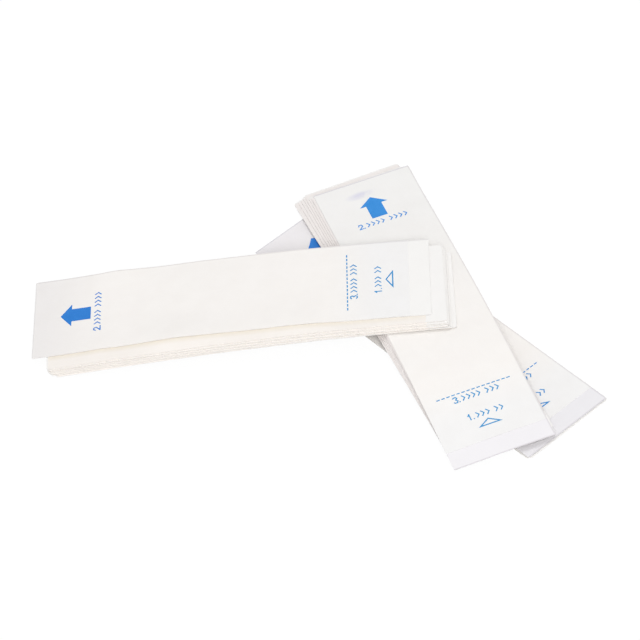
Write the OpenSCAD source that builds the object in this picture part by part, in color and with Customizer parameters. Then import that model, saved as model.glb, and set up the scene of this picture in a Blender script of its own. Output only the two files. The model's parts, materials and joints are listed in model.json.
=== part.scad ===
// Three loose, crossed bundles of disposable barrier sleeves for a hand-held dental camera.
// Each sleeve is a flat pocket of two film plies between two paper plies.
// Its paper peels back from one end, and a tail snaps off along a tear line near the other end.
// Millimetres. The origin is the middle of the lower bundle's bottom face. +Z is up.

/* [Sleeve] */
// Length of one flat sleeve, from its peel end to its insertion end
sleeve_l = 231; // [180:1:280]
// Width of one flat sleeve
sleeve_w = 60; // [48:1:80]
// Thickness of one paper ply
paper_t = 0.12; // [0.08:0.01:0.16]
// Thickness of one film ply
film_t = 0.05; // [0.03:0.01:0.07]
// Air between neighbouring plies of one sleeve
ply_gap = 0.02; // [0.01:0.01:0.03]
// Air between neighbouring sleeves of one bundle
sleeve_gap = 0.2; // [0.15:0.05:0.4]
// Air between one bundle and the bundle that it lies on
rest_gap = 0.3; // [0.2:0.1:1]
// Film that shows beyond the front paper at the peel end
peel_margin = 1; // [0:0.5:5]
// Film that shows beyond the front paper at the insertion end
insert_margin = 12; // [5:1:14]

/* [Peel and tear lines] */
// Distance of the tear line from the insertion end
tail_l = 48; // [44:1:54]
// Length of the end flap that peels up first
flap_l = 44; // [42:1:50]
// Number of flaps between the end flap and the tear line, on the upper bundle's top sleeve
inner_flaps = 3; // [1:1:4]
// Width of the cut at a tear line or between two flaps
seam_w = 0.06; // [0.02:0.02:0.1]

/* [Printed marks] */
// Thickness of the printed ink
ink_t = 0.02; // [0.01:0.01:0.03]
// Distance of the arrow's tip from the peel end
arrow_inset = 15.8; // [12:0.2:18]
// Full length of the arrow
arrow_l = 17.9; // [14:0.1:20]
// Length of the arrow's head
arrow_head_l = 6.6; // [5:0.1:9]
// Full width of the arrow's head
arrow_head_w = 17.2; // [12:0.2:22]
// Width of the arrow's shaft
arrow_shaft_w = 9.6; // [6:0.2:12]
// Height of the step numbers and of the marks in their rows
row_h = 3.7; // [3:0.1:4.5]
// Width of every drawn stroke
stroke_w = 0.68; // [0.4:0.02:0.8]
// Distance from one mark in a row to the next
mark_pitch = 3; // [2.2:0.05:3.2]
// Distance from the arrow's shaft to the row of step 2
step_2_gap = 2.2; // [1:0.1:3]
// Distance from the tear line to the row of step 3
step_3_gap = 2.3; // [1:0.1:3]
// Distance from the tear line to the row of step 1
step_1_gap = 16.3; // [14:0.1:18]
// Distance from the tear line to the point of the triangle
triangle_gap = 22.4; // [20.5:0.1:24]
// Length of the triangle, from its point to its base
triangle_l = 4.6; // [4:0.1:6]
// Width of the triangle's base
triangle_w = 14.3; // [10:0.1:18]
// Length of the dashed tear line
dashes_l = 44; // [30:1:46]
// Number of dashes in the tear line
dash_count = 15; // [9:1:19]

/* [Lower bundle] */
// Number of sleeves in the lower bundle
lower_count = 3; // [2:1:4]
// Direction of the lower bundle, about +Z
lower_yaw = -54.5; // [-60:0.5:-50]

/* [Middle bundle] */
// Number of sleeves in the middle bundle
middle_count = 8; // [3:1:9]
// Middle bundle's centre, across the view
middle_x = 3.2; // [-5:0.1:10]
// Middle bundle's centre, along the view
middle_y = 4.5; // [-5:0.1:10]
// Direction of the middle bundle, about +Z
middle_yaw = -76.5; // [-80:0.5:-72]
// Rise of the middle bundle's bow above its ends
middle_arch = 4.8; // [2:0.2:6]
// Place along the middle bundle about which its lower sleeves have fanned out, from the peel end
middle_fan_x = 200; // [150:5:220]

/* [Upper bundle] */
// Number of sleeves in the upper bundle
upper_count = 9; // [3:1:10]
// Upper bundle's centre, across the view
upper_x = -108.8; // [-112:0.1:-104]
// Upper bundle's centre, along the view
upper_y = 33.3; // [30:0.1:36]
// Direction of the upper bundle, about +Z
upper_yaw = -5.6; // [-8:0.1:-3]
// Length over which the upper bundle climbs from the table to the middle bundle
upper_ramp = 200; // [170:5:210]

/* [Hidden] */
// How far each sleeve under a bundle's top one has slipped along it and across it, and its turn
lower_slips = [[0.6, 0, 0.3], [-0.5, 0, -0.25]];
middle_slips = [
    [-0.7, 0, 0.45], [-1.5, 0.2, 0.9], [-5.4, 0.6, 1.45], [-5.2, 0.4, 1.76],
    [-5, 0.2, 2.2], [-4.9, 0, 2.64], [-5.4, 0, 3.4]
];
upper_slips = [
    [8.2, -9.4, 1.1], [8.8, -9.9, 0.9], [9.5, -9.6, 0.72], [8.9, -10.2, 0.66],
    [9.4, -10.4, 0.76], [9.9, -10.8, 0.68], [10.8, -11.3, 0.92], [13.2, -12.3, 1.3]
];

paper = [0.96, 0.95, 0.935];
film = [0.925, 0.93, 0.945];
ink = [0.18, 0.48, 0.85];

// Heights of the plies above a sleeve's bottom face
back_film_z = paper_t + ply_gap;
front_film_z = back_film_z + film_t + ply_gap;
front_paper_z = front_film_z + film_t + ply_gap;
sleeve_t = front_paper_z + paper_t;
pitch = sleeve_t + sleeve_gap;

// Places along a sleeve, measured from its peel end
tear_x = sleeve_l - tail_l;
front_end_x = sleeve_l - insert_margin;
inner_flap_l = (tear_x - flap_l) / inner_flaps;

// Length of one straight facet of a bowed ply
facet_l = 11;

// Each bundle is [bow, centre x, centre y, yaw, height of its lowest sleeve, number of sleeves]
FLAT = 0;
ARCH = 1;
RAMP = 2;
middle_z = lower_count * pitch - sleeve_gap + rest_gap;
middle_crest = middle_z + middle_count * pitch - sleeve_gap + middle_arch;
upper_rise = middle_crest + rest_gap;
// Height of the tall prism that cuts the marks out of a thin skin
cut_h = upper_rise + upper_count * pitch;
LOWER = [FLAT, 0, 0, lower_yaw, 0, lower_count];
MIDDLE = [ARCH, middle_x, middle_y, middle_yaw, middle_z, middle_count];
UPPER = [RAMP, upper_x, upper_y, upper_yaw, 0, upper_count];

// Height of a bundle's bow at x along it
function bow(shape, x) =
    shape == ARCH ? middle_arch * sin(180 * min(max(x / sleeve_l, 0), 1)) :
    shape == RAMP ? upper_rise * sin(90 * min(max(x / upper_ramp, 0), 1)) : 0;

// The same bow in straight facets that every ply of the bundle shares, so their gaps stay even
function faceted_bow(shape, x) =
    let (i = floor(x / facet_l), part = x / facet_l - i)
    (1 - part) * bow(shape, i * facet_l) + part * bow(shape, (i + 1) * facet_l);

// The ends of a stretch and every facet corner between them
function stations(from, to) = concat(
    [from],
    [for (i = [floor(from / facet_l) + 1:1:ceil(to / facet_l) - 1]) i * facet_l],
    [to]
);

// A ply or skin from x = from to x = to, between heights low and high over the bow
module ribbon(shape, from, to, low, high, slip = 0, width = sleeve_w) {
    line = stations(from + slip, to + slip);
    under = [for (x = line) [x - slip, faceted_bow(shape, x) + low]];
    over = [for (i = [len(line) - 1:-1:0]) [line[i] - slip, faceted_bow(shape, line[i]) + high]];
    rotate([90, 0, 0])
        linear_extrude(width, center = true)
            polygon(concat(under, over));
}

// Puts the top sleeve of a bundle in its place, or what is drawn in that sleeve's frame
module on_top(bundle) {
    translate([bundle[1], bundle[2], bundle[4] + (bundle[5] - 1) * pitch])
        rotate([0, 0, bundle[3]])
            translate([-sleeve_l / 2, 0, 0])
                children();
}

// Puts sleeve i of a bundle in its place, slipped and turned about pivot
module slipped(bundle, i, slip, pivot) {
    translate([bundle[1], bundle[2], bundle[4] + (bundle[5] - i) * pitch])
        rotate([0, 0, bundle[3]])
            translate([pivot + slip[0] - sleeve_l / 2, slip[1], 0])
                rotate([0, 0, slip[2]])
                    translate([-pivot, 0, 0])
                        children();
}

// Slip of sleeve i of a bundle; a longer bundle starts the list again
function slip_of(slips, i) = slips[(i - 2) % len(slips)];

// A whole sleeve in one solid: its plies lie shut, and the film's lips reach past the front paper
module closed_sleeve(bundle, i, slips, pivot) {
    slip = slip_of(slips, i);
    shape = bundle[0];
    color(paper)
        slipped(bundle, i, slip, pivot)
            union() {
                ribbon(shape, 0, sleeve_l, 0, front_paper_z - ply_gap, slip[0]);
                ribbon(shape, peel_margin, front_end_x, paper_t, sleeve_t, slip[0]);
            }
}

// The four plies, each over any stretch of a top sleeve
module back_paper(bundle, from, to) {
    color(paper) on_top(bundle) ribbon(bundle[0], from, to, 0, paper_t);
}

module back_film(bundle, from, to) {
    color(film) on_top(bundle) ribbon(bundle[0], from, to, back_film_z, back_film_z + film_t);
}

module front_film(bundle, from, to) {
    color(film) on_top(bundle) ribbon(bundle[0], from, to, front_film_z, front_film_z + film_t);
}

module front_paper(bundle, from, to) {
    color(paper) on_top(bundle) ribbon(bundle[0], from, to, front_paper_z, sleeve_t);
}

// A straight drawn stroke between two points
module stroke(a, b) {
    run = b - a;
    translate(a)
        rotate(atan2(run[1], run[0]))
            translate([-stroke_w / 2, -stroke_w / 2])
                square([norm(run) + stroke_w, stroke_w]);
}

// Strokes that join a list of points given in shares of a row's height
module drawn(points) {
    for (i = [1:len(points) - 1])
        stroke(points[i - 1] * row_h, points[i] * row_h);
}

// Step numbers, each in a box 0.6 wide and 1 high
module digit(number) {
    if (number == 1) drawn([[0.1, 0.75], [0.32, 1], [0.32, 0]]);
    if (number == 2) drawn([[0, 0.75], [0.15, 1], [0.45, 1], [0.6, 0.75], [0.6, 0.6], [0, 0], [0.6, 0]]);
    if (number == 3) drawn([[0, 0.9], [0.15, 1], [0.45, 1], [0.6, 0.77], [0.35, 0.53], [0.6, 0.28],
        [0.45, 0], [0.15, 0], [0, 0.12]]);
}

// A plain chevron that points along +x of the row
module chevron() {
    drawn([[0, 0.06], [0.36, 0.5], [0, 0.94]]);
}

// A row of marks: the step's number, a dot, then two groups of chevrons
module step_row(number, first, second) {
    places = concat([for (i = [0:first - 1]) i], [for (i = [0:second - 1]) first + 0.7 + i]);
    start = 1.75;
    length = (start + first + second) * mark_pitch;
    // Turned so that the row reads across the sleeve, and is centred on it
    rotate(90) translate([-length / 2, 0]) {
        digit(number);
        translate([row_h * 0.85, 0]) circle(r = stroke_w * 0.6, $fn = 16);
        for (place = places)
            translate([(start + place) * mark_pitch, 0]) chevron();
    }
}

// The solid arrow, with its tip at the origin and its shaft along +x
module arrow() {
    polygon([
        [0, 0], [arrow_head_l, -arrow_head_w / 2], [arrow_head_l, -arrow_shaft_w / 2],
        [arrow_l, -arrow_shaft_w / 2], [arrow_l, arrow_shaft_w / 2],
        [arrow_head_l, arrow_shaft_w / 2], [arrow_head_l, arrow_head_w / 2]
    ]);
}

// The triangle outline, with its point at the origin and its base at +x
module triangle() {
    rim = 1.1 * stroke_w;
    slant = sqrt(pow(triangle_l, 2) + pow(triangle_w / 2, 2));
    tip_in = rim * slant / (triangle_w / 2);
    inner_l = triangle_l - rim - tip_in;
    inner_w = triangle_w * inner_l / triangle_l;
    difference() {
        polygon([[0, 0], [triangle_l, -triangle_w / 2], [triangle_l, triangle_w / 2]]);
        translate([tip_in, 0])
            polygon([[0, 0], [inner_l, -inner_w / 2], [inner_l, inner_w / 2]]);
    }
}

// The dashes of the tear line, just on the tail's side of the cut
module dashes() {
    dash_l = dashes_l / (dash_count * 1.5 - 0.5);
    for (i = [0:dash_count - 1])
        translate([seam_w, -dashes_l / 2 + i * 1.5 * dash_l])
            square([stroke_w, dash_l]);
}

// Ink of the peel end: the arrow and step 2
module peel_print(bundle) {
    shaft_end_x = arrow_inset + arrow_l;
    color(ink) on_top(bundle) intersection() {
        linear_extrude(cut_h) {
            translate([arrow_inset, 0]) arrow();
            translate([shaft_end_x + step_2_gap + row_h, 0]) step_row(2, 4, 4);
        }
        ribbon(bundle[0], peel_margin, flap_l, sleeve_t, sleeve_t + ink_t);
    }
}

// Ink of the tail: the tear line's dashes, step 3, step 1 and the triangle
module tail_print(bundle) {
    color(ink) on_top(bundle) intersection() {
        translate([tear_x, 0]) linear_extrude(cut_h) {
            dashes();
            translate([step_3_gap + row_h, 0]) step_row(3, 4, 3);
            translate([step_1_gap + row_h, 0]) step_row(1, 3, 2);
            translate([triangle_gap, 0]) triangle();
        }
        ribbon(bundle[0], tear_x, front_end_x, sleeve_t, sleeve_t + ink_t);
    }
}

// Stretches of a top sleeve, a cut's half width short of each line that they meet
main_end = tear_x - seam_w / 2;
tail_start = tear_x + seam_w / 2;
module main_stretch(bundle, name) {
    front_film(bundle, 0, main_end);
    back_film(bundle, 0, main_end);
    back_paper(bundle, 0, main_end);
}

module tail_stretch(bundle, name) {
    front_paper(bundle, tail_start, front_end_x);
    front_film(bundle, tail_start, sleeve_l);
    back_film(bundle, tail_start, sleeve_l);
    back_paper(bundle, tail_start, sleeve_l);
    peel_print(bundle);
    tail_print(bundle);
}

// Flap 1 starts at the tear line, and the last flap holds the arrow
module upper_peel_flap(i) {
    last = inner_flaps + 1;
    from = i == last ? peel_margin : tear_x - i * inner_flap_l + seam_w / 2;
    to = i == last ? flap_l - seam_w / 2 : tear_x - (i - 1) * inner_flap_l - seam_w / 2;
    front_paper(UPPER, from, to);
}

main_stretch(UPPER, "upper");
tail_stretch(UPPER, "upper");
for (i = [1:inner_flaps + 1])
    upper_peel_flap(i);
for (i = [2:upper_count])
    closed_sleeve(UPPER, i, upper_slips, 0);

main_stretch(MIDDLE, "middle");
tail_stretch(MIDDLE, "middle");
front_paper(MIDDLE, flap_l + seam_w / 2, main_end);  // middle_front_paper
front_paper(MIDDLE, peel_margin, flap_l - seam_w / 2);  // middle_peel_flap
for (i = [2:middle_count])
    closed_sleeve(MIDDLE, i, middle_slips, middle_fan_x);

main_stretch(LOWER, "lower");
tail_stretch(LOWER, "lower");
front_paper(LOWER, peel_margin, main_end);  // lower_front_paper
for (i = [2:lower_count])
    closed_sleeve(LOWER, i, lower_slips, sleeve_l / 2);
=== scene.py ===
"""Looks for three crossed bundles of paper-and-film barrier sleeves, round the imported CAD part.

Each ply and sleeve of the frame is replaced by a finely divided sheet that follows the CAD
node's own place, length, width and bow, with gentle ripples and soft corners. Lengths are
metres, and a sleeve's own coordinates are x from its peel end, y across it and z up.
"""

import json
import math
import random

import bmesh
import bpy
import numpy as np
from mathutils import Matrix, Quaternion, Vector


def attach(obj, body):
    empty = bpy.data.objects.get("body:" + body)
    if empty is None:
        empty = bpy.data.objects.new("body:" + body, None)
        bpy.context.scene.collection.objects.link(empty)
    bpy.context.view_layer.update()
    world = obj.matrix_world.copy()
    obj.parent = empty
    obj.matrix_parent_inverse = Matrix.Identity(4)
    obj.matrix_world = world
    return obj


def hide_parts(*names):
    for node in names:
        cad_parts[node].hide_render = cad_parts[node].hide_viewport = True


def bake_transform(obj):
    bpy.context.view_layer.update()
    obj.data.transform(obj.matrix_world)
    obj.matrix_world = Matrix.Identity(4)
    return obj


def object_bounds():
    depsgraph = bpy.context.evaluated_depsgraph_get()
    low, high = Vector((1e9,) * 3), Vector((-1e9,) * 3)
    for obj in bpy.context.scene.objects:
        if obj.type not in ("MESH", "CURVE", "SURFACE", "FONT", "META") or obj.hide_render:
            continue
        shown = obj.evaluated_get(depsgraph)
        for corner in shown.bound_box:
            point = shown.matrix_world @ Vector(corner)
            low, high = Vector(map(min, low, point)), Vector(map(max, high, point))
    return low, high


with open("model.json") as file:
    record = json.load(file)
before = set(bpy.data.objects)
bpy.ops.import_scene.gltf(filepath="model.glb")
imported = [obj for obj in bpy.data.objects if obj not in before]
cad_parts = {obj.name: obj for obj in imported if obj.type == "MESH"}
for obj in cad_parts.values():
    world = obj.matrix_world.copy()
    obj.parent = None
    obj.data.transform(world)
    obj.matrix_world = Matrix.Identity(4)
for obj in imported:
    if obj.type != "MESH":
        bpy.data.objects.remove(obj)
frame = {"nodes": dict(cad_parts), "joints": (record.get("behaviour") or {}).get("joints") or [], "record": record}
cad_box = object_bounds()
scene = bpy.context.scene
MM = 0.001

# ---------------------------------------------------------------- camera
VIEW_ELEVATION = math.radians(46.54)
VIEW_ROLL = math.radians(-8.48)
VIEW_DISTANCE = 2.056
VIEW_TARGET = Vector((-0.0598, 0.0164, 0.0))
LENS, SENSOR_WIDTH = 201.15, 36.0
NEAREST, FURTHEST = 0.05, 50


def make_camera():
    """A long lens from the front, above the table, rolled as the photographer held it."""
    data = bpy.data.cameras.new("view")
    data.lens = LENS
    data.sensor_width = SENSOR_WIDTH
    data.clip_start, data.clip_end = NEAREST, FURTHEST
    camera = bpy.data.objects.new("view", data)
    scene.collection.objects.link(camera)
    back = Vector((0, -math.cos(VIEW_ELEVATION), math.sin(VIEW_ELEVATION)))
    camera.location = VIEW_TARGET + back * VIEW_DISTANCE
    camera.rotation_mode = "QUATERNION"
    look = (-back).to_track_quat("-Z", "Y")
    look.rotate(Quaternion(back, VIEW_ROLL))
    camera.rotation_quaternion = look
    scene.camera = camera


make_camera()

# ---------------------------------------------------------------- the frame's sleeves
BUNDLES = ("lower", "middle", "upper")
TOP_PLIES = ("back_paper", "back_film", "front_film", "front_paper")
# A node's corners this near to its side give the side's direction
SIDE_BAND = 4 * MM
# Corners of one bend in a node lie within this of each other along the sleeve
SAME_STATION = 0.15 * MM
# A bend whose corners reach this share of the full thickness has them on both faces
FULL_SHARE = 0.9


def mesh_points(mesh):
    """A mesh's vertices as an array."""
    flat = np.zeros(len(mesh.vertices) * 3, np.float32)
    mesh.vertices.foreach_get("co", flat)
    return flat.reshape(-1, 3).astype(float)


def points_of(node):
    """A CAD node's vertices as an array."""
    return mesh_points(frame["nodes"][node].data)


def long_axis(points):
    """The level direction in which points reach furthest."""
    level = points[:, :2] - points[:, :2].mean(0)
    return np.linalg.eigh(level.T @ level)[1][:, -1]


class Place:
    """A sleeve's own coordinates: its origin is the middle of its peel end."""

    def __init__(self, axis, points):
        self.u = axis
        self.v = np.array([-axis[1], axis[0]])
        along, across = points[:, :2] @ self.u, points[:, :2] @ self.v
        middle = (across.min() + across.max()) / 2
        self.origin = self.u * along.min() + self.v * middle

    def local(self, points):
        """How far points of the frame lie along and across the sleeve."""
        level = points[:, :2] - self.origin
        return level @ self.u, level @ self.v

    def world(self, x, y, z):
        """Points of the frame from places along, across and above the sleeve."""
        level = self.origin + np.outer(x, self.u) + np.outer(y, self.v)
        return np.column_stack([level, z])


def edge_axis(points, rough):
    """The direction of a strip's long side, from its extreme corners, near the rough one."""
    v = np.array([-rough[1], rough[0]])
    across = points[:, :2] @ v
    side = points[across > across.max() - SIDE_BAND]
    along = side[:, :2] @ rough
    run = side[along.argmax(), :2] - side[along.argmin(), :2]
    return run / np.linalg.norm(run)


def strip_place(node, towards):
    """A node's own coordinates, with x pointing the way that towards does."""
    points = points_of(node)
    axis = long_axis(points)
    axis = axis if axis @ towards > 0 else -axis
    return Place(edge_axis(points, axis), points)


def top_place(bundle):
    """The own coordinates of a bundle's top sleeve."""
    main = points_of(f"{bundle}_back_paper")
    tail = points_of(f"{bundle}_tail_back_paper")
    return strip_place(f"{bundle}_back_paper", (tail.mean(0) - main.mean(0))[:2])


class Profile:
    """Heights of a node's underside and top along its sleeve, smooth between its bends."""

    def __init__(self, node, place):
        points = points_of(node)
        x, y = place.local(points)
        order = np.argsort(x)
        stations, low, high = [], [], []
        for i in order:
            if not stations or x[i] - stations[-1] > SAME_STATION:
                stations.append(x[i])
                low.append(points[i, 2])
                high.append(points[i, 2])
            else:
                low[-1] = min(low[-1], points[i, 2])
                high[-1] = max(high[-1], points[i, 2])
        x_all, low, high = np.array(stations), np.array(low), np.array(high)
        self.thick = (high - low).max()
        self.lip = (high - low)[0]
        # Steps in a shut sleeve's top have corners that don't reach its underside
        full = high - low > FULL_SHARE * self.thick
        full[[0, -1]] = True
        self.x, self.low, self.high = x_all[full], low[full], high[full]
        self.start, self.end = x_all[0], x_all[-1]
        self.half_width = (y.max() - y.min()) / 2

    def under(self, x):
        """The underside's height at x."""
        return hermite(self.x, self.low, x)

    def over(self, x):
        """The top's height at x."""
        return hermite(self.x, self.high, x)

    def faceted_over(self, x):
        """The top as the frame has it, straight between its bends."""
        return np.interp(x, self.x, self.high)


def hermite(xs, zs, x):
    """A smooth curve through the points xs, zs."""
    slope = np.gradient(zs, xs)
    i = np.clip(np.searchsorted(xs, x, side="right") - 1, 0, len(xs) - 2)
    h = xs[i + 1] - xs[i]
    t = (x - xs[i]) / h
    return (
        (2 * t**3 - 3 * t**2 + 1) * zs[i]
        + (t**3 - 2 * t**2 + t) * h * slope[i]
        + (3 * t**2 - 2 * t**3) * zs[i + 1]
        + (t**3 - t**2) * h * slope[i + 1]
    )


PLACES = {bundle: top_place(bundle) for bundle in BUNDLES}


def reach(node):
    """How far from its peel end a node of the lower top sleeve starts and ends."""
    x = PLACES["lower"].local(points_of(node))[0]
    return float(x.min()), float(x.max())


# Film that shows past the front paper at each end
PEEL_MARGIN = reach("lower_front_paper")[0]
INSERT_MARGIN = reach("lower_tail_back_paper")[1] - reach("lower_tail_front_paper")[1]
SLEEVE_LENGTH = reach("lower_tail_back_paper")[1]
HALF_WIDTH = float(np.abs(PLACES["lower"].local(points_of("lower_back_paper"))[1]).max())
# Half the cut at a tear line, which the dressed sheets close while they lie flat
HALF_CUT = (reach("lower_tail_back_paper")[0] - reach("lower_back_paper")[1]) / 2
TEAR_LINE = reach("lower_back_paper")[1] + HALF_CUT


# ---------------------------------------------------------------- ripples
RIPPLE_PHASE = {"lower": 0.4, "middle": 1.7, "upper": 3.1}
# Two crossing waves: height, lengths along and across per radian, and share of the phase
RIPPLES = ((0.06 * MM, 9 * MM, 40 * MM, 1.0), (0.05 * MM, 17 * MM, -13 * MM, 2.3))
# The upper bundle's ripple dies away over this towards its tear line, where the tail folds
RIPPLE_FREE = 15 * MM
# How far the middle bundle's peel end turns up, and over what length
PEEL_END_RISE, PEEL_END_RUN = 1.2 * MM, 32 * MM
# The lower bundle lies pressed on the table
LOWER_RIPPLE_SHARE = 0.35


def smooth(t):
    """0 below 0, 1 above 1, smooth between them."""
    t = np.clip(t, 0, 1)
    return t * t * (3 - 2 * t)


def shared_ripple(bundle, x, y):
    """The gentle unevenness that all sleeves of one bundle share."""
    phase = RIPPLE_PHASE[bundle]
    wave = sum(h * np.sin(x / a + y / b + share * phase) for h, a, b, share in RIPPLES)
    if bundle == "upper":
        wave *= smooth(np.abs(x - TEAR_LINE) / RIPPLE_FREE)
    if bundle == "middle":
        wave += PEEL_END_RISE * (1 - smooth(x / PEEL_END_RUN))
    if bundle == "lower":
        wave *= LOWER_RIPPLE_SHARE
    return wave


# How far the upper bundle's top sleeve curls up at its long edges: place along it and lift, in mm
NEAR_CURL = ((0, 0.2), (25, 0.35), (39, 0.8), (54, 0.5), (68, 1.2), (84, 1.9), (98, 1.4))
NEAR_CURL += ((126, 0.8), (155, 1.0), (170, 0.55), (181, 0), (185, 0), (195, 0.12), (231, 0))
FAR_CURL = ((0, 0.35), (20, 0.1), (36, 0.45), (49, 1.2), (58, 0.7), (70, 0.05), (100, 0), (231, 0))
# The curl takes up this much of the width from either edge
CURL_WIDTH = 30 * MM
# What the sleeve under it lacks of the top sleeve's curl
CURL_GAP = 0.08 * MM
# How far the middle bundle hangs down past the lower one's side, and over what length
DROOP, DROOP_RUN = 1.1 * MM, 36 * MM
# From where, and over what length, the bundle on top presses the middle one together
PRESSED_FROM, PRESSED_RUN = 150 * MM, 65 * MM
# How far a sleeve's back paper sags towards the sleeve that it lies on
SAG = 0.17 * MM
MIDDLE_COUNT = 1 + sum(node.startswith("middle_sleeve_") for node in frame["nodes"])


def curl(stations, x):
    """Height of a curled edge at x, smooth between its stations."""
    along, height = np.array(stations, float).T * MM
    return hermite(along, height, np.clip(x, along[0], along[-1]))


def top_lift(bundle, x, y):
    """How far a bundle's top sleeve stands off the sleeve under it, beyond the frame's gap."""
    if bundle != "upper":
        return 0 * x
    near, far = smooth(-y / CURL_WIDTH), smooth(y / CURL_WIDTH)
    return near**2 * curl(NEAR_CURL, x) + far**2 * curl(FAR_CURL, x)


def second_lift(x, y, own_y):
    """How far the sleeve under the upper bundle's top one follows its near edge's curl."""
    from_edge = own_y + HALF_WIDTH
    strip = np.maximum(from_edge - (y + HALF_WIDTH), MM)
    height = np.maximum(curl(NEAR_CURL, x) - CURL_GAP, 0)
    uncovered = smooth(from_edge / strip)
    return height * np.where(y < -HALF_WIDTH, uncovered, smooth(-y / HALF_WIDTH) ** 2)


def droop(x, y):
    """How far the middle bundle hangs down where it reaches past the lower one's near side."""
    world = PLACES["middle"].world(x.ravel(), y.ravel(), np.zeros(x.size))
    past = -HALF_WIDTH - PLACES["lower"].local(world)[1].reshape(x.shape)
    return DROOP * smooth(past / DROOP_RUN)


def pressed(bundle, x):
    """Share of the air pressed out from between a bundle's sleeves, at x along it."""
    return smooth((x - PRESSED_FROM) / PRESSED_RUN) if bundle == "middle" else 0 * x


def surface_shift(bundle, x, y, number):
    """All that is added to a height of the frame at a place in the bundle's own coordinates.

    number is the sleeve's place in its pile, from 1 on top.
    """
    shift = shared_ripple(bundle, x, y)
    if bundle == "middle":
        shift = shift - SAG * (MIDDLE_COUNT - number) * pressed(bundle, x) - droop(x, y)
    return shift + top_lift(bundle, x, y) if number == 1 else shift


# ---------------------------------------------------------------- meshes
TOP_CORNER_R, SHUT_CORNER_R = 0.5 * MM, 1.6 * MM
# Where a rounded corner has its rows, as shares of its radius
CORNER_ROWS = (0.08, 0.25, 0.5, 0.75, 1)
STEP_ALONG, STEP_ACROSS = 3.0 * MM, 3.0 * MM
SHARP_ANGLE = math.radians(40)
# A shut sleeve's plies, as shares of its thickness: back paper's top, films' underside and
# front paper's underside
BACK_TOP, FILM_UNDER, FRONT_UNDER = 0.29, 0.32, 0.705
# How unevenly a shut sleeve's plies lie at their long edges
MAX_INSET = 0.05 * MM
# The ink's longest edge, its distance from the paper, and how near its doubled points lie
INK_EDGE, INK_LIFT, SAME_POINT = 2.5 * MM, 0.012 * MM, 1e-7
# How often the ink's long edges are halved at most
INK_ROUNDS = 4


def stations_between(start, end, soft_ends, radius):
    """Stations along a sheet, closer together at its ends."""
    line = list(np.linspace(start, end, int(round((end - start) / STEP_ALONG)) + 1))
    extra = [share * radius for share in CORNER_ROWS]
    if soft_ends[0]:
        line += [start + e for e in extra]
    if soft_ends[1]:
        line += [end - e for e in extra]
    return np.array(sorted(line))


def half_width_at(x, start, end, half, soft_ends, radius):
    """Half the sheet's width at x, with its corners rounded off at the soft ends."""
    cut = np.zeros_like(x)
    for soft, gap in ((soft_ends[0], x - start), (soft_ends[1], end - x)):
        if soft:
            inside = np.clip(radius - gap, 0, radius)
            cut = np.maximum(cut, radius - np.sqrt(radius**2 - inside**2))
    return half - cut


def add_places(mesh, name, places):
    """Stores a coordinate of each vertex for the materials to read."""
    layer = mesh.attributes.new(name, "FLOAT_VECTOR", "POINT")
    layer.data.foreach_set("vector", places.astype(np.float32).ravel())


class Sheet:
    """Gathers thin sheets into one mesh; each has a top, an underside and walls."""

    def __init__(self):
        self.vertices, self.faces, self.slots, self.own, self.pile = [], [], [], [], []

    def add(self, x, y, low, high, place, slot, pile):
        """x, y, low and high are grids; rows run along the sheet and columns across it."""
        rows, columns = x.shape
        base = sum(len(v) for v in self.vertices)
        for z in (high, low):
            self.vertices.append(place.world(x.ravel(), y.ravel(), z.ravel()))
            self.own.append(np.column_stack([x.ravel(), y.ravel(), z.ravel()]))
            self.pile.append(np.column_stack([pile[0].ravel(), pile[1].ravel(), z.ravel()]))
        count = rows * columns

        def at(i, j, under):
            return base + under * count + i * columns + j

        faces = []
        for i in range(rows - 1):
            for j in range(columns - 1):
                faces.append((at(i, j, 0), at(i + 1, j, 0), at(i + 1, j + 1, 0), at(i, j + 1, 0)))
                faces.append((at(i, j, 1), at(i, j + 1, 1), at(i + 1, j + 1, 1), at(i + 1, j, 1)))
        ring = [(i, 0) for i in range(rows)]
        ring += [(rows - 1, j) for j in range(1, columns)]
        ring += [(i, columns - 1) for i in range(rows - 2, -1, -1)]
        ring += [(0, j) for j in range(columns - 2, 0, -1)]
        for k, a in enumerate(ring):
            b = ring[(k + 1) % len(ring)]
            faces.append((at(*a, 0), at(*a, 1), at(*b, 1), at(*b, 0)))
        self.faces += faces
        self.slots += [slot] * len(faces)

    def build(self, name, materials):
        """The object that holds all sheets added so far."""
        mesh = bpy.data.meshes.new(name)
        mesh.from_pydata(np.concatenate(self.vertices).tolist(), [], self.faces)
        for material in materials:
            mesh.materials.append(material)
        mesh.polygons.foreach_set("material_index", self.slots)
        add_places(mesh, "sleeve_place", np.concatenate(self.own))
        add_places(mesh, "pile_place", np.concatenate(self.pile))
        mesh.shade_smooth()
        mesh.set_sharp_from_angle(angle=SHARP_ANGLE)
        obj = bpy.data.objects.new(name, mesh)
        scene.collection.objects.link(obj)
        return obj


def sheet_grid(start, end, half, soft_ends, radius):
    """Places along and across a sheet, in its own coordinates, as two grids."""
    x_line = stations_between(start, end, soft_ends, radius)
    shares = np.linspace(-1, 1, int(round(2 * half / STEP_ACROSS)) + 1)
    widths = half_width_at(x_line, start, end, half, soft_ends, radius)
    x = np.repeat(x_line[:, None], len(shares), 1)
    y = widths[:, None] * shares[None, :]
    return x, y


def bundle_coordinates(bundle, place, x, y):
    """Coordinates of a sleeve's points along and across its bundle's top sleeve."""
    world = place.world(x.ravel(), y.ravel(), np.zeros(x.size))
    bx, by = PLACES[bundle].local(world)
    return bx.reshape(x.shape), by.reshape(x.shape)


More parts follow.
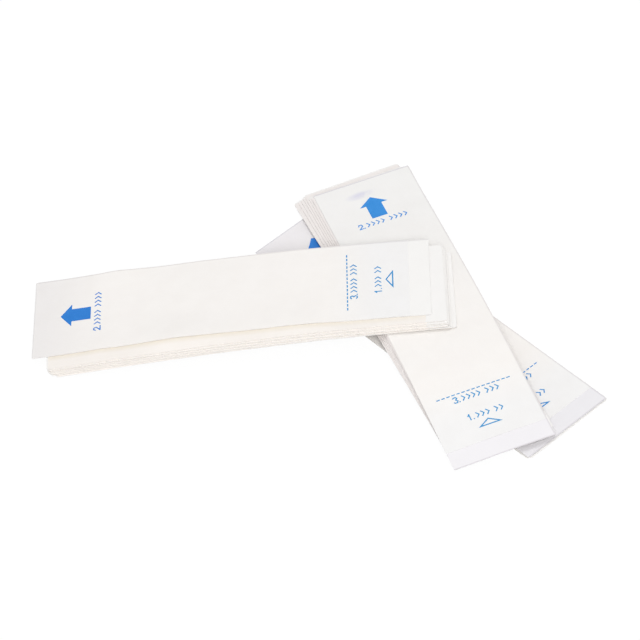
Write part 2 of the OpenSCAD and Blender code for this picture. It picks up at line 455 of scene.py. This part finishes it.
def top_ply(bundle, node, soft_ends, materials):
    """The dressed sheet for one ply of a bundle's top sleeve."""
    place = PLACES[bundle]
    profile = Profile(node, place)
    start = profile.start - (0 if soft_ends[0] else HALF_CUT)
    end = profile.end + (0 if soft_ends[1] else HALF_CUT)
    x, y = sheet_grid(start, end, profile.half_width, soft_ends, TOP_CORNER_R)
    shift = surface_shift(bundle, x, y, 1)
    sag = 0
    if node.endswith("back_paper") and bundle != "lower":
        sag = SAG * (1 - pressed(bundle, x))
    inside = np.clip(x, profile.start, profile.end)
    sheet = Sheet()
    low, high = profile.under(inside) + shift - sag, profile.over(inside) + shift
    sheet.add(x, y, low, high, place, 0, (x, y))
    obj = sheet.build(node + "_sheet", materials)
    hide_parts(node)
    return obj


# All shut sleeves are as thick as this one
SHUT_THICKNESS = Profile("upper_sleeve_2", strip_place("upper_sleeve_2", PLACES["upper"].u)).thick


def closed_sleeve(bundle, node, number, lowest, rng, materials):
    """The dressed sheets for one shut sleeve: back paper, the two films, front paper."""
    place = strip_place(node, PLACES[bundle].u)
    profile = Profile(node, place)
    length, thick = profile.end - profile.start, SHUT_THICKNESS
    sheet = Sheet()
    layers = (
        (0.0, length, 0.0, BACK_TOP * thick, 0),
        (0.0, length, FILM_UNDER * thick, profile.lip, 1),
        (PEEL_MARGIN, length - INSERT_MARGIN, FRONT_UNDER * thick, thick, 0),
    )
    for start, end, low, high, slot in layers:
        inset = rng.uniform(0, 1) * MAX_INSET
        x, y = sheet_grid(start, end, profile.half_width - inset, (True, True), SHUT_CORNER_R)
        bx, by = bundle_coordinates(bundle, place, x, y)
        shift = surface_shift(bundle, bx, by, number)
        if bundle == "upper" and number == 2:
            shift = shift + second_lift(bx, by, y)
        under = profile.under(x) + shift
        sag = 0 if low or lowest else SAG * (1 - pressed(bundle, bx))
        sheet.add(x, y, under + low - sag, under + high, place, slot, (bx, by))
    obj = sheet.build(node + "_sheets", materials)
    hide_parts(node)
    return obj


def print_skin(bundle, node, under_node, material):
    """The ink of a CAD print node, divided finely and laid on the dressed paper."""
    place = PLACES[bundle]
    mesh = frame["nodes"][node].data.copy()
    mesh.name = node + "_ink"
    bm = bmesh.new()
    bm.from_mesh(mesh)
    bmesh.ops.remove_doubles(bm, verts=bm.verts, dist=SAME_POINT)
    for _ in range(INK_ROUNDS):
        long_edges = [e for e in bm.edges if e.calc_length() > INK_EDGE]
        if not long_edges:
            break
        bmesh.ops.subdivide_edges(bm, edges=long_edges, cuts=1, use_grid_fill=False)
        bmesh.ops.triangulate(bm, faces=[f for f in bm.faces if len(f.verts) > 3])
    bm.to_mesh(mesh)
    bm.free()
    points = mesh_points(mesh)
    x, y = place.local(points)
    profile = Profile(under_node, place)
    inside = np.clip(x, profile.start, profile.end)
    points[:, 2] += profile.over(inside) - profile.faceted_over(inside)
    points[:, 2] += surface_shift(bundle, x, y, 1) + INK_LIFT
    mesh.vertices.foreach_set("co", points.astype(np.float32).ravel())
    add_places(mesh, "sleeve_place", np.column_stack([x, y, points[:, 2]]))
    mesh.materials.clear()
    mesh.materials.append(material)
    mesh.shade_flat()
    mesh.update()
    obj = bpy.data.objects.new(node + "_ink", mesh)
    scene.collection.objects.link(obj)
    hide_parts(node)
    return obj


# ---------------------------------------------------------------- materials
# Painted edge shade: a thin dark outline of painted shade along the sheets' edges and on their cut walls
EDGE_SHADE_TINT = (0.86, 0.85, 0.86)
# The painted edge shade is whole up to the first of these distances from a sheet's edge, and gone at the second
EDGE_SHADE_WHOLE, EDGE_SHADE_GONE = 0.4 * MM, 1.0 * MM
# A face's normal reaches up by more than the first, and a wall's by less than the second
FACE_UP, WALL_UP = 0.6, 0.4
TAIL_TINT, TAIL_FROM, TAIL_TO = (0.968, 0.987, 1.01), 170 * MM, 205 * MM
# Painted warm crevice shade, a cream band beside the edge of the sleeve above: colour, reach to either side, and
# fading
CREVICE_SHADE_TINT = (0.947, 0.924, 0.861)
CREVICE_SHADE_OUT, CREVICE_SHADE_FULL, CREVICE_SHADE_IN = 4.2 * MM, 0.4 * MM, 3 * MM
CREVICE_SHADE_WHOLE, CREVICE_SHADE_GONE = 150 * MM, 300 * MM
SMUDGE_TINT = (0.80, 0.80, 0.93)
PAPER_ROUGHNESS, PAPER_SPECULAR, PAPER_SEE_THROUGH = 0.78, 0.22, 0.08
FILM_ROUGHNESS, FILM_SPECULAR = (0.36, 0.5), 0.45
FILM_HAZE = 0.985
INK_ROUGHNESS, INK_SPECULAR = 0.6, 0.15
# Noises: scale, detail and, where it isn't the usual one, roughness
CLOUD, FIBRE, TOOTH = (90.0, 4.0), (1.0, 5.0, 0.7), (5200.0, 2.0)
HAZE, STREAK = (70.0, 3.0), (1.0, 4.0)
GRAIN, PATCH = (1800.0, 3.0), (120.0, 2.0)
# How fibres and streaks are drawn out along the sleeve
FIBRE_STRETCH, STREAK_STRETCH = (260.0, 1500.0, 400.0), (60.0, 900.0, 60.0)
# The range of a noise over which a colour changes
MOTTLE_RANGE, HAZE_RANGE, GHOST_RANGE = (0.35, 0.65), (0.3, 0.7), (0.3, 0.6)
# The first noise's share in a mixture of two: colour and height of paper, colour of ink
CLOUD_SHARE, FIBRE_SHARE, GRAIN_SHARE = 0.65, 0.6, 0.6
# A smudge is whole up to the first of these shares of its reach, and gone at the second
SMUDGE_RANGE = (0.1, 1.0)
# Bumps: strength and height
PAPER_BUMP, FILM_BUMP, INK_BUMP = (0.12, 0.12 * MM), (0.1, 0.1 * MM), (0.08, 0.1 * MM)
# The Mix node's sockets for colours
MIX_A, MIX_B, MIX_OUT = 6, 7, 2


class Nodes:
    """A material's or world's nodes, with short ways to add and join them."""

    def __init__(self, owner):
        self.owner = owner
        owner.use_nodes = True
        self.tree = owner.node_tree
        self.tree.nodes.clear()

    def add(self, kind, **settings):
        """A new node; settings are its own properties or values of its inputs."""
        node = self.tree.nodes.new(kind)
        for key, value in settings.items():
            if hasattr(node, key):
                setattr(node, key, value)
            else:
                node.inputs[key.replace("_", " ")].default_value = value
        return node

    def join(self, a, b):
        self.tree.links.new(a, b)

    def feed(self, value, socket):
        """Sets a socket to a number, or joins another node's output to it."""
        if isinstance(value, (int, float)):
            socket.default_value = value
        else:
            self.join(value, socket)

    def place(self):
        """The sleeve's own coordinates, in metres."""
        return self.attribute("sleeve_place")

    def noise(self, vector, scale, detail, roughness=0.55):
        node = self.add("ShaderNodeTexNoise", Scale=scale, Detail=detail, Roughness=roughness)
        self.join(vector, node.inputs["Vector"])
        return node.outputs["Fac"]

    def scaled(self, vector, scale):
        node = self.add("ShaderNodeMapping")
        node.inputs["Scale"].default_value = scale
        self.join(vector, node.inputs["Vector"])
        return node.outputs["Vector"]

    def mix(self, factor, a, b):
        """A colour between a and b."""
        node = self.add("ShaderNodeMix", data_type="RGBA")
        self.join(factor, node.inputs["Factor"])
        for socket, value in ((node.inputs[MIX_A], a), (node.inputs[MIX_B], b)):
            socket.default_value = (*value, 1.0)
        return node.outputs[MIX_OUT]

    def ramp(self, value, low, high):
        """0 below low, 1 above high, smooth between them."""
        node = self.add("ShaderNodeMapRange", interpolation_type="SMOOTHSTEP")
        node.inputs["From Min"].default_value = low
        node.inputs["From Max"].default_value = high
        self.join(value, node.inputs["Value"])
        return node.outputs["Result"]

    def falling(self, value, low, high):
        """1 below low, 0 above high, smooth between them."""
        return self.maths("SUBTRACT", 1.0, self.ramp(value, low, high))

    def attribute(self, name):
        return self.add("ShaderNodeAttribute", attribute_name=name).outputs["Vector"]

    def part(self, vector, axis):
        node = self.add("ShaderNodeSeparateXYZ")
        self.join(vector, node.inputs[0])
        return node.outputs[axis]

    def tint(self, factor, colour, tint):
        """The colour, multiplied by tint where factor is 1."""
        node = self.add("ShaderNodeMix", data_type="RGBA", blend_type="MULTIPLY")
        self.join(factor, node.inputs["Factor"])
        self.join(colour, node.inputs[MIX_A])
        node.inputs[MIX_B].default_value = (*tint, 1.0)
        return node.outputs[MIX_OUT]

    def edge_shade(self, place, x, both_ends, walls):
        """1 on a fine band of painted edge shade, a dark outline along a sleeve's far side and its ends.

        With walls, the cut sides of the sheets are 1 too, as painted shade.
        """
        from_edge = self.maths("SUBTRACT", HALF_WIDTH, self.part(place, "Y"))
        from_edge = self.maths("MINIMUM", from_edge, x)
        if both_ends:
            from_edge = self.maths("MINIMUM", from_edge, self.maths("SUBTRACT", SLEEVE_LENGTH, x))
        edge_shade = self.falling(from_edge, EDGE_SHADE_WHOLE, EDGE_SHADE_GONE)
        face = self.add("ShaderNodeNewGeometry").outputs["True Normal"]
        up = self.part(face, "Z")
        edge_shade = self.maths("MULTIPLY", edge_shade, self.maths("GREATER_THAN", up, FACE_UP))
        if not walls:
            return edge_shade
        wall = self.maths("LESS_THAN", self.maths("ABSOLUTE", up), WALL_UP)
        return self.maths("MAXIMUM", edge_shade, wall)

    def maths(self, operation, a, b=0.0):
        node = self.add("ShaderNodeMath", operation=operation)
        for socket, value in zip(node.inputs, (a, b)):
            self.feed(value, socket)
        return node.outputs[0]

    def average(self, a, b, share):
        """A mixture of two values that holds this share of a."""
        rest = self.maths("MULTIPLY", b, 1 - share)
        return self.maths("ADD", self.maths("MULTIPLY", a, share), rest)

    def bump(self, height, strength, distance):
        node = self.add("ShaderNodeBump", Strength=strength, Distance=distance)
        self.join(height, node.inputs["Height"])
        return node.outputs["Normal"]

    def principled(self, colour, specular, normal):
        shader = self.add("ShaderNodeBsdfPrincipled")
        shader.inputs["Specular IOR Level"].default_value = specular
        self.join(colour, shader.inputs["Base Color"])
        self.join(normal, shader.inputs["Normal"])
        return shader

    def plain_shader(self, kind, colour, strength=None):
        """A shader of one colour, and of one strength if it has any."""
        shader = self.add(kind)
        shader.inputs["Color"].default_value = (*colour, 1.0)
        if strength is not None:
            shader.inputs["Strength"].default_value = strength
        return shader.outputs[0]

    def mix_shaders(self, share, a, b):
        """Shader a where share is 0 and b where it is 1."""
        node = self.add("ShaderNodeMixShader")
        for socket, value in zip(node.inputs, (share, a, b)):
            self.feed(value, socket)
        return node.outputs[0]

    def finish(self, shader, output="ShaderNodeOutputMaterial"):
        self.join(shader, self.add(output).inputs["Surface"])
        return self.owner


def new_material(name):
    """The nodes of a new material, still empty."""
    return Nodes(bpy.data.materials.new(name))


def crevice_shade_band(n, x):
    """1 on the band of painted crevice shade beside the edge of the sleeve above, fading along the sleeve."""
    near = n.part(n.attribute("pile_place"), "Y")
    band = n.ramp(near, -HALF_WIDTH - CREVICE_SHADE_OUT, -HALF_WIDTH - CREVICE_SHADE_FULL)
    band = n.maths("MULTIPLY", band, n.falling(near, -HALF_WIDTH, CREVICE_SHADE_IN - HALF_WIDTH))
    return n.maths("MULTIPLY", band, n.falling(x, CREVICE_SHADE_WHOLE, CREVICE_SHADE_GONE))


def smudge_ghost(n, place, cloud, smudge):
    """1 in the middle of a smudge, thinner towards its edge and between the paper's clouds."""
    x, y, reach_x, reach_y = smudge
    spot = n.add("ShaderNodeMapping", vector_type="TEXTURE")
    spot.inputs["Location"].default_value = (x, y, 0)
    spot.inputs["Scale"].default_value = (reach_x, reach_y, 1)
    n.join(place, spot.inputs["Vector"])
    away = n.add("ShaderNodeVectorMath", operation="LENGTH")
    n.join(spot.outputs[0], away.inputs[0])
    ghost = n.falling(away.outputs["Value"], *SMUDGE_RANGE)
    return n.maths("MULTIPLY", ghost, n.ramp(cloud, *GHOST_RANGE))


def paper_material(name, light, dark, peel_shade=None, crevice_shade=False, smudge=None, walls=False):
    """Smooth medical paper: faint cloudy mottling, short fibres, a little light let through.

    A top sleeve's paper has painted shade towards the peel end, darker and cooler there, a cooler
    tint at the tail, and a fine dark outline of painted edge shade. A crevice shade is a painted
    warm cream shade beside the edge of the sleeve above. A smudge is a pale ghost of ink by the
    arrow's tip. With walls, the cut sides take the same painted edge shade.
    """
    n = new_material(name)
    place = n.place()
    cloud = n.noise(place, *CLOUD)
    fibre = n.noise(n.scaled(place, FIBRE_STRETCH), *FIBRE)
    tooth = n.noise(place, *TOOTH)
    mottle = n.average(cloud, fibre, CLOUD_SHARE)
    colour = n.mix(n.ramp(mottle, *MOTTLE_RANGE), dark, light)
    x = n.part(place, "X")
    if peel_shade:
        whole, gone, tint = peel_shade
        # Painted shade: darker and cooler towards the peel end
        colour = n.tint(n.falling(x, whole, gone), colour, tint)
        colour = n.tint(n.ramp(x, TAIL_FROM, TAIL_TO), colour, TAIL_TINT)
    if crevice_shade:
        # Painted warm crevice shade beside the edge of the sleeve above
        colour = n.tint(crevice_shade_band(n, x), colour, CREVICE_SHADE_TINT)
    if smudge:
        colour = n.tint(smudge_ghost(n, place, cloud, smudge), colour, SMUDGE_TINT)
    if peel_shade or walls:
        # Painted edge shade: a darker outline at the edges, and on the cut walls with walls
        colour = n.tint(n.edge_shade(place, x, both_ends=False, walls=walls), colour, EDGE_SHADE_TINT)
    height = n.average(fibre, tooth, FIBRE_SHARE)
    shader = n.principled(colour, PAPER_SPECULAR, n.bump(height, *PAPER_BUMP))
    shader.inputs["Roughness"].default_value = PAPER_ROUGHNESS
    glow = n.add("ShaderNodeBsdfTranslucent")
    n.join(colour, glow.inputs["Color"])
    return n.finish(n.mix_shaders(PAPER_SEE_THROUGH, shader.outputs[0], glow.outputs[0]))


def film_material(name, colour, edge_shade=True, both_ends=False, walls=False):
    """Frosted film: cool, slightly glossy, with faint drawn streaks along the sleeve.

    Its painted edge shade, a dark outline if it has one, runs along the far side and the peel end or both ends;
    with walls, its cut sides are darkened as painted shade too.
    """
    n = new_material(name)
    place = n.place()
    streak = n.noise(n.scaled(place, STREAK_STRETCH), *STREAK)
    haze = n.ramp(n.noise(place, *HAZE), *HAZE_RANGE)
    shade = n.mix(haze, tuple(c * FILM_HAZE for c in colour), colour)
    if edge_shade:
        # Painted edge shade: a darker outline at the film's edges, and on its cut walls with walls
        shade = n.tint(n.edge_shade(place, n.part(place, "X"), both_ends, walls), shade, EDGE_SHADE_TINT)
    shader = n.principled(shade, FILM_SPECULAR, n.bump(streak, *FILM_BUMP))
    rough = n.add("ShaderNodeMapRange")
    rough.inputs["To Min"].default_value, rough.inputs["To Max"].default_value = FILM_ROUGHNESS
    n.join(streak, rough.inputs["Value"])
    n.join(rough.outputs["Result"], shader.inputs["Roughness"])
    return n.finish(shader.outputs[0])


def ink_material(name, light, dark):
    """Flat blue print that takes a little of the paper's grain."""
    n = new_material(name)
    place = n.place()
    grain = n.noise(place, *GRAIN)
    mottle = n.average(grain, n.noise(place, *PATCH), GRAIN_SHARE)
    colour = n.mix(n.ramp(mottle, *MOTTLE_RANGE), dark, light)
    shader = n.principled(colour, INK_SPECULAR, n.bump(grain, *INK_BUMP))
    shader.inputs["Roughness"].default_value = INK_ROUGHNESS
    return n.finish(shader.outputs[0])


# The paper's lighter and darker tone: on the top sleeves, on those under them, and on the
# fanned ones of the middle bundle, whose darker, pinker colours are painted shade
LIGHT, DARK = (0.95, 0.922, 0.893), (0.935, 0.905, 0.874)
UNDER_LIGHT, UNDER_DARK = (0.94, 0.896, 0.85), (0.927, 0.88, 0.832)
SHADED_FAN_LIGHT, SHADED_FAN_DARK = (0.892, 0.85, 0.83), (0.875, 0.83, 0.805)
# Where each top sleeve's painted peel end shade, darker and cooler towards the peel end, is whole, where it is
# gone, and its colour
PEEL_END_SHADES = {
    "upper": (0.0, 45 * MM, (0.93, 0.93, 0.945)),
    "middle": (10 * MM, 140 * MM, (0.972, 0.99, 1.005)),
    "lower": (0.0, 60 * MM, (0.94, 0.94, 0.985)),
}
# The smudge's place along and across its sleeve, and its reach both ways
SMUDGES = {"middle": (12 * MM, -3.5 * MM, 4.2 * MM, 12.5 * MM)}
PAPERS = {}
for bundle, peel_shade in PEEL_END_SHADES.items():
    PAPERS[bundle] = paper_material(
        f"{bundle}_paper",
        LIGHT,
        DARK,
        peel_shade,
        smudge=SMUDGES.get(bundle),
        walls=bundle == "middle",
    )
UNDER_PAPER = paper_material("under_paper", UNDER_LIGHT, UNDER_DARK)
SECOND_PAPER = paper_material("second_paper", UNDER_LIGHT, UNDER_DARK, crevice_shade=True)
# Painted shade: a darker copy of the paper for the fanned sleeves, with painted edge shade on its walls
SHADED_FAN_PAPER = paper_material("shaded_fan_paper", SHADED_FAN_LIGHT, SHADED_FAN_DARK, walls=True)
FILMS = {
    "upper": film_material("upper_film", (0.87, 0.857, 0.837)),
    "middle": film_material("middle_film", (0.825, 0.806, 0.824), both_ends=True, walls=True),
    "lower": film_material("lower_film", (0.80, 0.785, 0.805), both_ends=True),
}
SHUT_FILM = film_material("shut_film", (0.868, 0.853, 0.835), edge_shade=False)
# Each print's two shades: the arrow's end is a purer blue than the thin marks on the tail
INK_SHADES = {
    "upper_peel": ((0.0325, 0.212, 0.635), (0.0235, 0.185, 0.578)),
    "upper_tail": ((0.034, 0.29, 0.61), (0.026, 0.252, 0.556)),
    "middle_peel": ((0.05, 0.283, 0.71), (0.0365, 0.246, 0.648)),
    "middle_tail": ((0.05, 0.31, 0.615), (0.0365, 0.27, 0.56)),
    "lower_peel": ((0.041, 0.227, 0.68), (0.03, 0.197, 0.62)),
    "lower_tail": ((0.041, 0.27, 0.617), (0.03, 0.235, 0.562)),
}

# ---------------------------------------------------------------- dressing
# Which ends of a sheet have rounded corners: the sleeve's main length, and its tail
MAIN_ENDS, TAIL_ENDS, NO_ENDS = (True, False), (False, True), (False, False)
# Where a sheet starts and ends to bend, along the bundle from its hinge.
UPPER_PEEL_BEND = (35.2 * MM, -44 * MM)
MIDDLE_PEEL_BEND = (20 * MM, -40 * MM)
MOUTH_BEND = (0.0, 38.64 * MM)
SEED = 7


def number_of(name):
    """The number at the end of a node's or body's name."""
    return int(name.rsplit("_", 1)[1])


def hinge_point(joint_name):
    """A point on a joint's axis."""
    joint = next(j for j in frame["joints"] if j["name"] == joint_name)
    return Vector(joint["pos_m"])


def along(bundle, x):
    """A level shift of x along the bundle's top sleeve."""
    u = PLACES[bundle].u
    return Vector((u[0] * x, u[1] * x, 0.0))


def dress_top_sleeve(bundle):
    """The plies of a bundle's top sleeve and of its tail, apart from the flaps that peel."""
    for prefix, ends in (("", MAIN_ENDS), ("tail_", TAIL_ENDS)):
        for ply in TOP_PLIES:
            node = f"{bundle}_{prefix}{ply}"
            # The upper bundle's front paper is all flaps, up to the tear line
            if node not in frame["nodes"]:
                continue
            soft = NO_ENDS if node == "middle_front_paper" else ends
            kind, looks = ("film", FILMS) if "film" in ply else ("paper", PAPERS)
            settle(top_ply(bundle, node, soft, [looks[bundle]]), node)


def body_of_node(node):
    """The body that a CAD node belongs to."""
    bodies = frame["record"]["behaviour"]["bodies"]
    return next(body for body, members in bodies.items() if node in members)


def bend(bundle, joint, reach_of):
    """The points where a sheet starts and ends to bend at a joint."""
    return [hinge_point(joint) + along(bundle, x) for x in reach_of]


def blend_for(body):
    """A peeling or opening body's parent, and where its sheets start and end to bend."""
    if body.startswith("upper_peel_flap_"):
        number = number_of(body)
        parent = "upper_top_sleeve" if number == 1 else f"upper_peel_flap_{number - 1}"
        return parent, *bend("upper", f"upper_peel_{number}", UPPER_PEEL_BEND)
    if body == "middle_peel_flap":
        return "middle_top_sleeve", *bend("middle", "middle_peel", MIDDLE_PEEL_BEND)
    if body.endswith("_mouth"):
        bundle = body.split("_")[0]
        return f"{bundle}_tail", *bend(bundle, f"{bundle}_mouth_open", MOUTH_BEND)
    return None


def settle(obj, node):
    """Gives a piece its body; a piece of a peeling or opening body instead has its place baked into its mesh."""
    body = body_of_node(node)
    blend = blend_for(body)
    if blend:
        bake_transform(obj)
    else:
        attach(obj, body)


def dress_flaps():
    """The flaps of front paper that peel back."""
    for node in sorted(n for n in frame["nodes"] if "peel_flap" in n):
        bundle = node.split("_")[0]
        soft = MAIN_ENDS if node in ("upper_peel_flap_4", "middle_peel_flap") else NO_ENDS
        settle(top_ply(bundle, node, soft, [PAPERS[bundle]]), node)


def dress_prints():
    """Each print, laid on the paper that carries it."""
    papers = {
        "lower_peel": "lower_front_paper",
        "lower_tail": "lower_tail_front_paper",
        "middle_peel": "middle_peel_flap",
        "middle_tail": "middle_tail_front_paper",
        "upper_peel": "upper_peel_flap_4",
        "upper_tail": "upper_tail_front_paper",
    }
    for place, paper in papers.items():
        node = f"{place}_print"
        ink = ink_material(f"{place}_ink", *INK_SHADES[place])
        settle(print_skin(place.split("_")[0], node, paper, ink), node)


def dress_closed_sleeves():
    """The shut sleeves under each bundle's top one, numbered from 2 down the pile."""
    rng = random.Random(SEED)
    for bundle in BUNDLES:
        names = [n for n in frame["nodes"] if n.startswith(f"{bundle}_sleeve_")]
        for node in sorted(names, key=number_of):
            number = number_of(node)
            lowest = number == len(names) + 1
            # The middle bundle's fanned sleeves take the darker paper of painted shade; the sleeve under the upper
            # top one takes the painted crevice shade
            paper = SHADED_FAN_PAPER if bundle == "middle" else UNDER_PAPER
            if node == "upper_sleeve_2":
                paper = SECOND_PAPER
            sheets = closed_sleeve(bundle, node, number, lowest, rng, [paper, SHUT_FILM])
            settle(sheets, node)


for name in BUNDLES:
    dress_top_sleeve(name)
dress_flaps()
dress_prints()
dress_closed_sleeves()


# ---------------------------------------------------------------- floor, world and lamps
WHITE = (1, 1, 1)
FLOOR_COLOUR, FLOOR_HALF, FLOOR_GAP = (0.93, 0.93, 0.93), 3.0, 0.2 * MM
# How bright the floor's own white is, and its share of what is seen of the floor
FLOOR_GLOW, FLOOR_GLOW_SHARE = 1.02, 0.92
SKY_COLOUR, SKY_STRENGTH = (0.985, 0.99, 1.0), 0.53
# Each lamp's place, width and watts
LAMPS = {
    "front": ((0.15, -2.4, 2.5), 2.0, 62.3),
    "key": ((-0.15, 0.6, 2.1), 1.0, 9.5),
}


def seen_directly(n):
    """1 for rays that should meet a plain white background, 0 for rays that carry light."""
    path = n.add("ShaderNodeLightPath").outputs
    glossy = n.maths("MAXIMUM", path["Is Camera Ray"], path["Is Glossy Ray"])
    return n.maths("MAXIMUM", glossy, path["Is Transmission Ray"])


def make_floor():
    """A plain pale floor that takes the part's shadow."""
    n = new_material("white_floor")
    diffuse = n.plain_shader("ShaderNodeBsdfDiffuse", FLOOR_COLOUR)
    glow = n.plain_shader("ShaderNodeEmission", WHITE, FLOOR_GLOW)
    share = n.maths("MULTIPLY", seen_directly(n), FLOOR_GLOW_SHARE)
    material = n.finish(n.mix_shaders(share, diffuse, glow))
    mesh = bpy.data.meshes.new("floor")
    half, z = FLOOR_HALF, cad_box[0][2] - FLOOR_GAP
    corners = [(-half, -half, z), (half, -half, z), (half, half, z), (-half, half, z)]
    mesh.from_pydata(corners, [], [(0, 1, 2, 3)])
    mesh.materials.append(material)
    floor = bpy.data.objects.new("floor", mesh)
    scene.collection.objects.link(floor)


def make_world():
    """Soft light from all round, and plain white where it is seen directly."""
    scene.world = bpy.data.worlds.new("studio")
    n = Nodes(scene.world)
    lit = n.plain_shader("ShaderNodeBackground", SKY_COLOUR, SKY_STRENGTH)
    seen = n.plain_shader("ShaderNodeBackground", WHITE, 1.0)
    n.finish(n.mix_shaders(seen_directly(n), lit, seen), "ShaderNodeOutputWorld")


def make_lamp(name, place, size, watts):
    """A round soft lamp that faces the part."""
    data = bpy.data.lights.new(name, "AREA")
    data.shape = "DISK"
    data.size = size
    data.energy = watts
    lamp = bpy.data.objects.new(name, data)
    lamp.location = place
    lamp.rotation_mode = "QUATERNION"
    lamp.rotation_quaternion = (-Vector(place)).to_track_quat("-Z", "Y")
    scene.collection.objects.link(lamp)


make_floor()
make_world()
for name, settings in LAMPS.items():
    make_lamp(name, *settings)

scene.view_settings.view_transform = "Standard"
